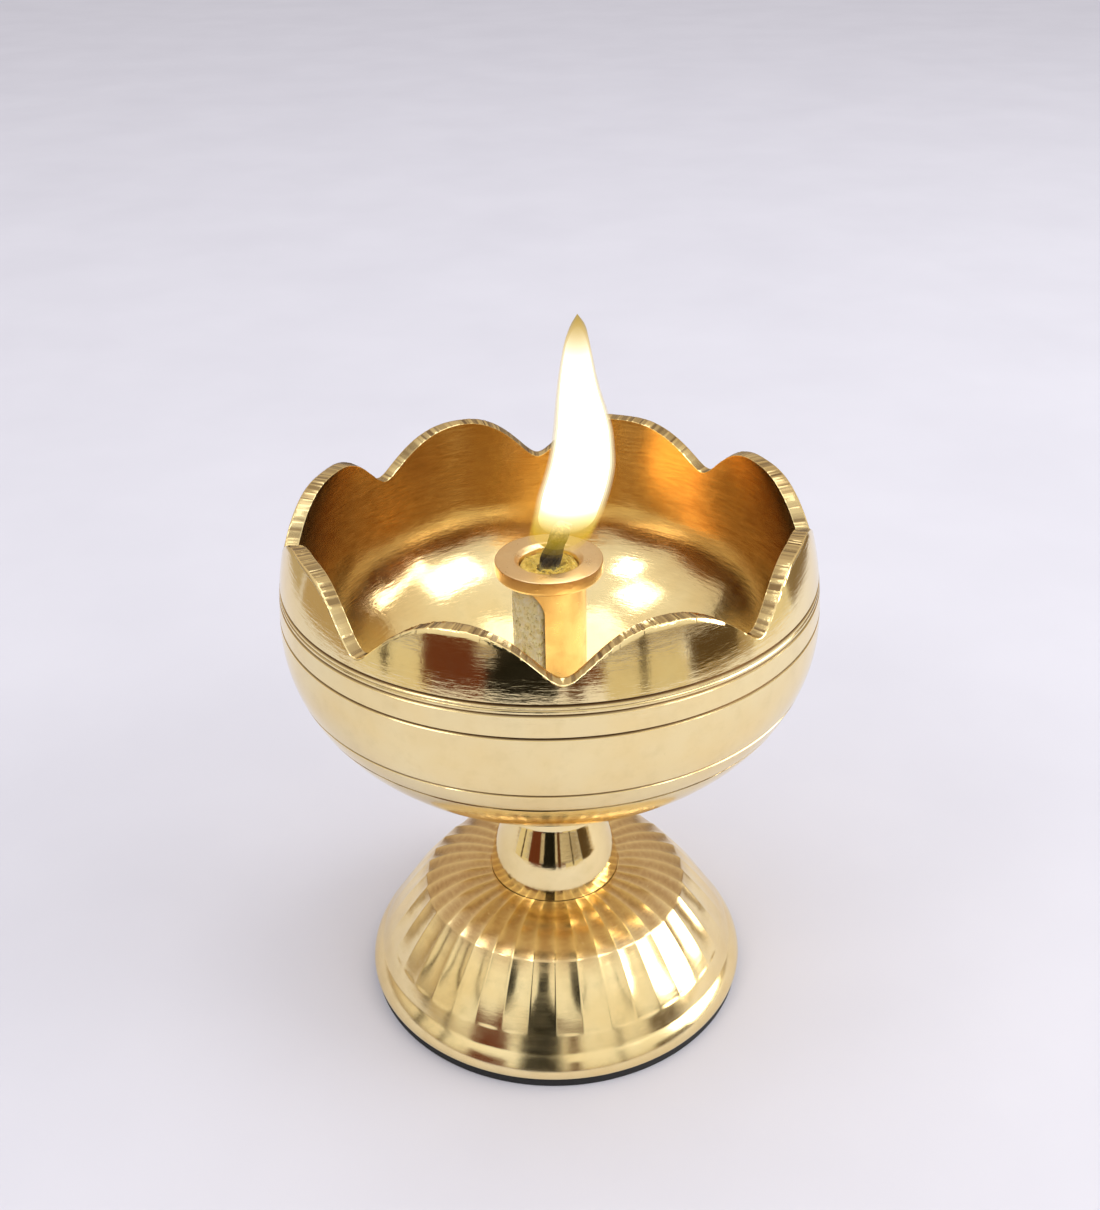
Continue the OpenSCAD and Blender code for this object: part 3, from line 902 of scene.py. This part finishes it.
# Each shell's name, width, lowest and highest share of the flame, colours from foot to tip,
# strength, and how far it covers what is behind it at shares of the flame's height
FLAME_SHELLS = (
    ("flame_outer", 1.0, 0.0, 1.0, (1.0, 0.62, 0.06), (0.84, 0.68, 0.44), (0.50, 0.36, 0.12), 1.0,
     ((0.0, 0.01), (0.22, 0.14), (0.80, 0.28), (1.0, 0.90))),
    ("flame_yellow", 0.955, 0.015, 0.99, (1.0, 0.66, 0.04), (1.0, 0.88, 0.52), (1.0, 0.56, 0.05),
     1.1, ((0.02, 0.03), (0.22, 0.22), (0.82, 0.34), (0.97, 0.90))),
    ("flame_pale", 0.90, 0.04, 0.975, (1.0, 0.72, 0.05), (1.0, 0.96, 0.72), (1.0, 0.80, 0.20), 1.4,
     ((0.05, 0.03), (0.20, 0.22), (0.34, 0.45), (0.96, 0.80))),
    ("flame_core", 0.83, 0.10, 0.955, (1.0, 0.80, 0.16), (1.0, 1.0, 1.0), (1.0, 0.94, 0.50), 7.0,
     ((0.13, 0.0), (0.21, 0.16), (0.32, 1.0), (0.93, 0.95))),
)
for shell, grow, low, high, c_low, c_mid, c_top, strength, cover in FLAME_SHELLS:
    finish_piece(flame_shell(shell, grow, low, high), "wick", "flame",
                 flame_material(shell, c_low, c_mid, c_top, strength, cover), "flame")

for name in ("tie_bolt", "spring_washer", "flat_washer"):
    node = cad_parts[name]
    node.data.materials.clear()
    node.data.materials.append(steel)


# ---------------------------------------------------------------- studio

scene = bpy.context.scene
scene.view_settings.view_transform = "Standard"


def floor():
    """A wide matt floor: a glossy one would mirror the panels that lie just above it."""
    shader = Shader("studio_floor")
    grain = shader.noise(shader.place(), 0.02, 3.0)
    shader.set(Base_Color=shader.ramp(grain, (0.3, (0.66, 0.65, 0.70)), (0.7, (0.69, 0.68, 0.73))),
               Roughness=1.0, Specular_IOR_Level=0.0)
    size = 6000
    plane = make_mesh("studio_floor", [(-size, -size, 0), (size, -size, 0), (size, size, 0),
                                       (-size, size, 0)], [[0, 1, 2, 3]])
    plane.data.materials.append(shader.material)


def softbox(name, azimuth, elevation, distance, width, height, power):
    """A soft light aimed at the middle of the lamp."""
    a, e = math.radians(azimuth), math.radians(elevation)
    target = Vector((0, 0, 45))
    place = target + Vector((math.cos(a) * math.cos(e), math.sin(a) * math.cos(e),
                             math.sin(e))) * distance
    data = bpy.data.lights.new(name, "AREA")
    data.shape = "RECTANGLE"
    data.size, data.size_y = width * MM, height * MM
    data.energy = power
    lamp = bpy.data.objects.new(name, data)
    lamp.location = place * MM
    lamp.rotation_euler = (target - place).to_track_quat("-Z", "Y").to_euler()
    bpy.context.collection.objects.link(lamp)


# Panels that show only in the polished metal. Upright ones: first and last azimuth, distance,
# lower and upper edge, colour. Flat ones lie round the lamp: first and last azimuth, nearest
# distance, colour.
UPRIGHT = (
    (250, 272, 285, 0, 205, (0.010, 0.009, 0.006)),
    (222, 243, 285, 0, 100, (0.13, 0.035, 0.016)),
    (276, 282, 285, 0, 120, (0.10, 0.04, 0.015)),
    (303, 305.5, 285, 0, 150, (0.05, 0.03, 0.014)),
    (322, 345, 285, 0, 62, (0.09, 0.055, 0.024)),
    (205, 208, 285, 0, 150, (0.05, 0.03, 0.015)),
    (188, 192, 285, 0, 150, (0.04, 0.025, 0.012)),
)
FLAT = (
    (246, 273, 300, (0.010, 0.009, 0.006)),
    (226, 246, 300, (0.13, 0.035, 0.016)),
    (192, 226, 236, (0.74, 0.66, 0.50)),
    (273, 290, 420, (0.16, 0.055, 0.020)),
    (290, 322, 236, (0.70, 0.62, 0.46)),
    (325, 352, 236, (0.42, 0.32, 0.20)),
    (352, 378, 236, (0.80, 0.72, 0.56)),
    (18, 50, 236, (0.24, 0.17, 0.10)),
    (58, 88, 236, (0.40, 0.32, 0.21)),
    (92, 120, 236, (0.12, 0.08, 0.05)),
    (120, 154, 236, (0.50, 0.41, 0.28)),
    (156, 190, 236, (0.48, 0.36, 0.22)),
)
FLAT_TO = 1600
BACKDROP = (0.80, 0.79, 0.83)
# Name, azimuth, elevation, distance, width, height and power
LIGHTS = (
    ("window_right", -3, 15, 900, 600, 420, 4.2),
    ("window_front", 330, 40, 900, 420, 330, 1.5),
    ("window_side", 222, 42, 900, 150, 200, 0.6),
    ("window_left", 200, 55, 900, 220, 240, 0.5),
    ("overhead", 100, 80, 950, 700, 500, 1.4),
)


def panel(name, first, last, edges, colour):
    """A panel round the lamp between two edges, each (distance, height)."""
    steps = 12
    verts = []
    for distance, z in edges:
        for k in range(steps + 1):
            a = math.radians(first + (last - first) * k / steps)
            verts.append((distance * math.cos(a), distance * math.sin(a), z))
    n = steps + 1
    card = make_mesh(name, verts, [[k, k + 1, k + 1 + n, k + n] for k in range(steps)])
    material = bpy.data.materials.new(name)
    nodes = Nodes(material)
    glow = nodes.node("ShaderNodeEmission")
    nodes.feed(glow.inputs["Color"], colour)
    nodes.link(glow.outputs[0], nodes.tree.nodes["Material Output"].inputs["Surface"])
    card.data.materials.append(material)
    card.visible_camera = False
    card.visible_diffuse = False
    card.visible_shadow = False


def room():
    """A pale backdrop to look at; in reflections, a room darker towards its back and towards
    eye height."""
    scene.world = bpy.data.worlds.new("studio")
    nodes = Nodes(scene.world)
    facing = nodes.split(nodes.node("ShaderNodeTexCoord").outputs["Generated"])
    height = nodes.ramp(facing["Z"], (0.0, (0.26, 0.20, 0.15)), (0.06, (0.60, 0.53, 0.44)),
                        (0.16, (0.84, 0.80, 0.73)), (0.7, (1.0, 0.98, 0.95)))
    forward = nodes.node("ShaderNodeMapRange")
    forward.inputs["From Min"].default_value = -1
    nodes.link(facing["Y"], forward.inputs["Value"])
    back = nodes.ramp(forward.outputs[0], (0.25, (1.0, 1.0, 1.0)), (0.5, (0.90, 0.86, 0.80)),
                      (0.8, (0.74, 0.64, 0.53)))
    path = nodes.node("ShaderNodeLightPath")
    plain = nodes.math("MAXIMUM", path.outputs["Is Camera Ray"], path.outputs["Is Diffuse Ray"])
    seen = nodes.mix(plain, nodes.mix(1.0, height, back, "MULTIPLY"), BACKDROP)
    nodes.link(seen, nodes.tree.nodes["Background"].inputs[0])


floor()
room()
for index, (first, last, distance, low, high, colour) in enumerate(UPRIGHT):
    panel(f"upright_{index}", first, last, ((distance, low), (distance, high)), colour)
for index, (first, last, start, colour) in enumerate(FLAT):
    panel(f"flat_{index}", first, last, ((start, 1), (FLAT_TO, 1)), colour)
for light in LIGHTS:
    softbox(*light)


# ---------------------------------------------------------------- camera

# Millimetres and degrees
CAMERA_PLACE = (1.0, -167.2, 153.1)
CAMERA_TURN = 0.33
CAMERA_TILT = 29.16
CAMERA_ROLL = 1.09
FIELD_OF_VIEW = 45.25

camera = bpy.data.objects.new("camera", bpy.data.cameras.new("camera"))
camera.data.sensor_fit = "AUTO"
camera.data.angle = math.radians(FIELD_OF_VIEW)
camera.data.clip_start = 0.01
camera.matrix_world = (Matrix.Translation(Vector(CAMERA_PLACE) * MM)
                       @ Matrix.Rotation(math.radians(CAMERA_TURN), 4, "Z")
                       @ Matrix.Rotation(math.radians(90 - CAMERA_TILT), 4, "X")
                       @ Matrix.Rotation(math.radians(-CAMERA_ROLL), 4, "Z"))
bpy.context.collection.objects.link(camera)
scene.camera = camera
